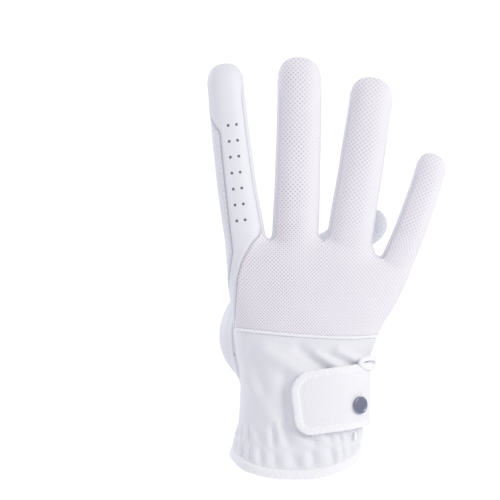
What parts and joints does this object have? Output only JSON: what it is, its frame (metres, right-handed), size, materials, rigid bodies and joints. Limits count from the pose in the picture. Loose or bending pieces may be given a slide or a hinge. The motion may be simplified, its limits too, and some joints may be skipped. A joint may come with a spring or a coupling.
{
  "type": "riding glove",
  "caption": "Right-hand riding glove with a mesh back, a perforated index strip, an embossed palm and a wrist strap, open as if worn",
  "frame": {"origin": "the middle of the wrist opening, where the hand goes in", "axes": "+Z runs from the wrist to the fingertips, -Y is the back of the hand, +X is the little finger's side"},
  "size_m": [0.1201, 0.0614, 0.2131],
  "materials": {
    "mesh": "white knitted spacer mesh with small staggered openings",
    "leather": "white synthetic leather, embossed with small cells on the palm and finger pads",
    "stretch_cloth": "white fine-ribbed stretch cloth",
    "binding": "white soft elastic binding",
    "hook_and_loop": "white hook-and-loop tape",
    "rivet": "gunmetal grey, satin"
  },
  "bodies": {
    "root": {"back_mesh_panel": "mesh", "thumb_back_panel": "mesh", "index_side_panel": "leather", "palm_panel": "leather", "fourchette_index_middle": "leather", "fourchette_middle_ring": "leather", "fourchette_ring_little": "leather", "thumb_base_panel": "leather", "thumb_pad_panel": "leather", "ulnar_gusset": "leather", "wrist_back_panel": "stretch_cloth", "closure_strap": "stretch_cloth", "knuckle_seam_piping": "binding", "hem_binding": "binding", "strap_binding": "binding", "closure_patch": "hook_and_loop", "strap_rivet": "rivet"}
  },
  "joints": []
}
